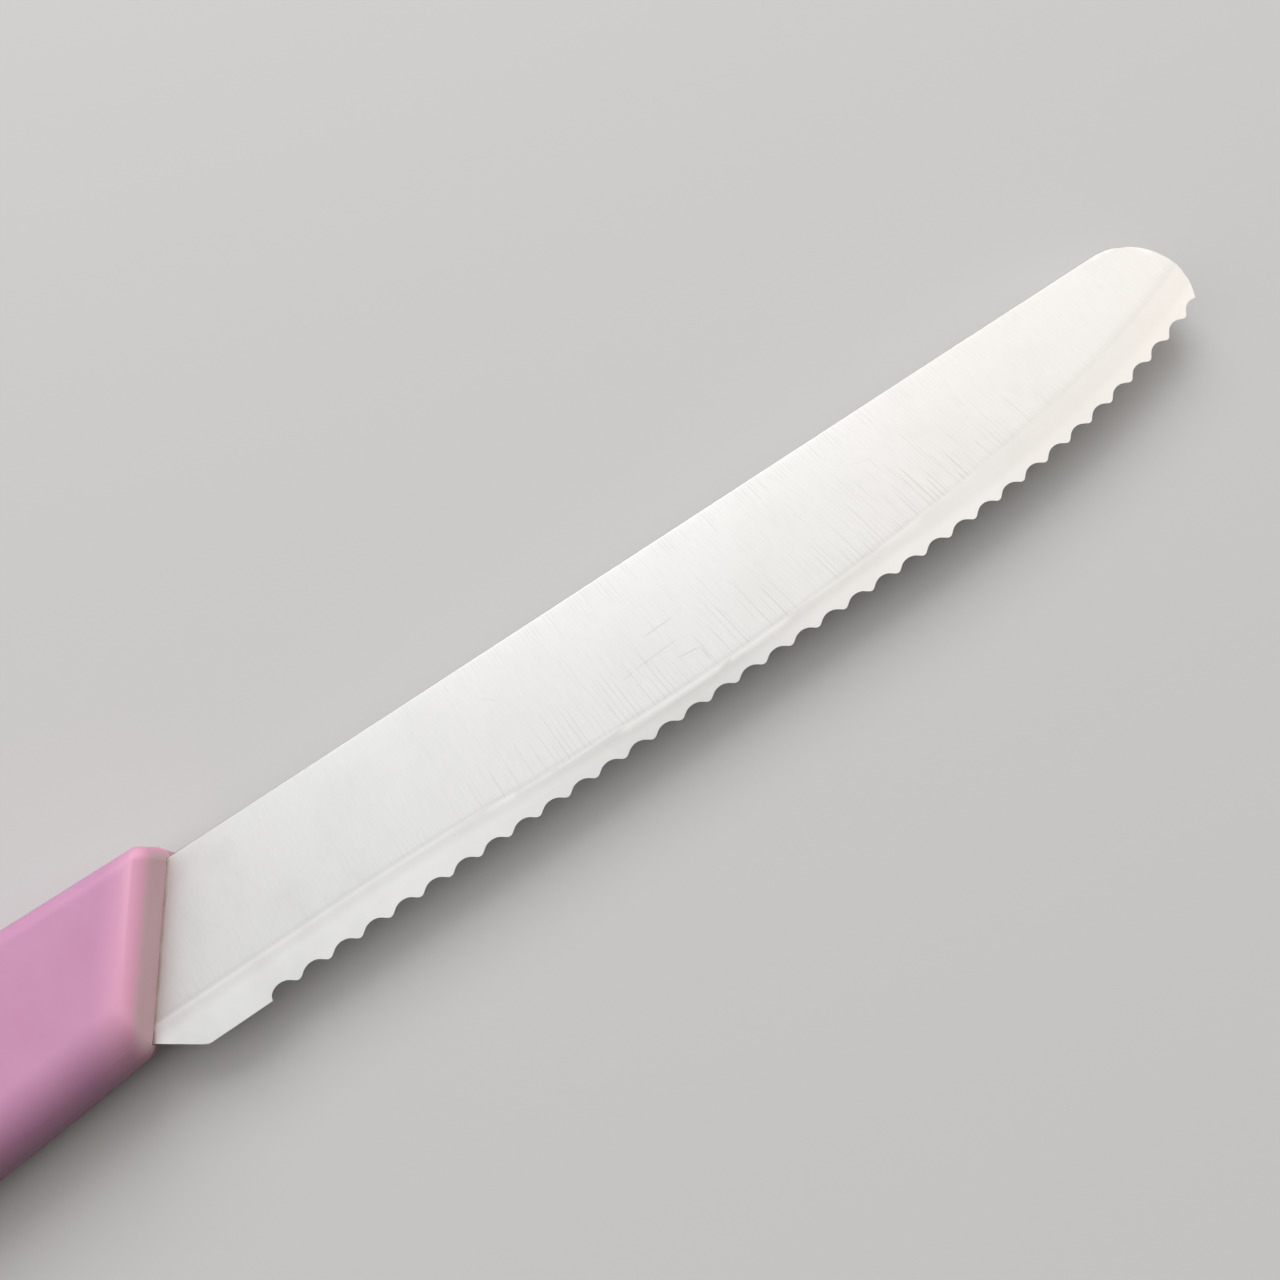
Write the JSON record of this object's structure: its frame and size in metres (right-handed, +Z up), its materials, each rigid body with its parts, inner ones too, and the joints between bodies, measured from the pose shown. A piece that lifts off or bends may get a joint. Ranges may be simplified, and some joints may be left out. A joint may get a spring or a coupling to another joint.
{
  "type": "table knife",
  "caption": "Table knife: round-tipped steel blade with a fine wavy serrated edge, its tang held in a one-piece moulded plastic handle with a slanted front.",
  "frame": {"origin": "middle of the knife's footprint, on the surface it lies on", "axes": "the knife lies on its side: +X along the blade towards its tip, +Y across it towards the spine, +Z up through its thickness"},
  "size_m": [0.2154, 0.0178, 0.01],
  "materials": {
    "steel": "satin stainless steel, ground finely across the blade",
    "plastic": "moulded plastic with a soft sheen, lilac pink"
  },
  "bodies": {
    "root": {"blade": "steel", "handle": "plastic"}
  },
  "joints": []
}
